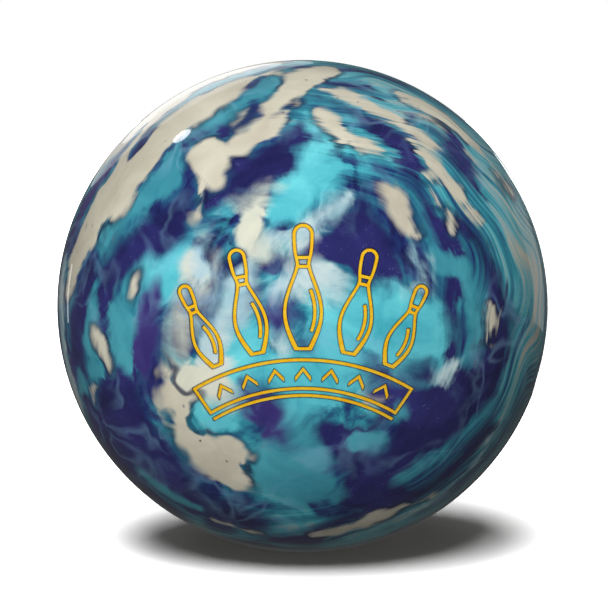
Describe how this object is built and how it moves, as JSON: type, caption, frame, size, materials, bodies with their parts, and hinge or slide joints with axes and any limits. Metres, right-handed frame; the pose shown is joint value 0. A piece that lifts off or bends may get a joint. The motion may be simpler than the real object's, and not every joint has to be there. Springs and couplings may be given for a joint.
{
  "type": "bowling ball",
  "caption": "Undrilled ten-pin bowling ball: marbled coverstock shell over a core with a weight block, pin and mass bias plugs, and gold-filled engraved emblems.",
  "frame": {"origin": "the ball's centre, which is also the centre of its box", "axes": "+Z from the centre through the pin plug, -Y out through the front emblem, +X to the right of someone looking at the front emblem, out through the side emblem; +Y out through the mass bias marker"},
  "size_m": [0.2176, 0.2176, 0.2176],
  "materials": {
    "marbled_coverstock": "gloss",
    "outer_core_filler": "matte",
    "weight_block_casting": "matte",
    "flip_block_casting": "matte",
    "side_lobe_casting": "matte",
    "dowel_wood": "matte",
    "pin_plug_resin": "gloss",
    "marker_plug_resin": "gloss",
    "engraving_paint": "satin"
  },
  "bodies": {
    "root": {"coverstock": "marbled_coverstock", "outer_core": "outer_core_filler", "weight_block_bulb": "weight_block_casting", "flip_block": "flip_block_casting", "side_lobe_right": "side_lobe_casting", "side_lobe_left": "side_lobe_casting", "support_dowel": "dowel_wood", "pin_plug": "pin_plug_resin", "mass_bias_marker": "marker_plug_resin", "front_emblem_centre_pin_paint": "engraving_paint", "front_emblem_left_inner_pin_paint": "engraving_paint", "front_emblem_right_inner_pin_paint": "engraving_paint", "front_emblem_left_outer_pin_paint": "engraving_paint", "front_emblem_right_outer_pin_paint": "engraving_paint", "front_emblem_lane_paint": "engraving_paint", "front_emblem_lane_arrows_paint": "engraving_paint", "side_emblem_ring_paint": "engraving_paint", "side_emblem_pin_rack_paint": "engraving_paint", "balance_marker": "engraving_paint"}
  },
  "joints": []
}
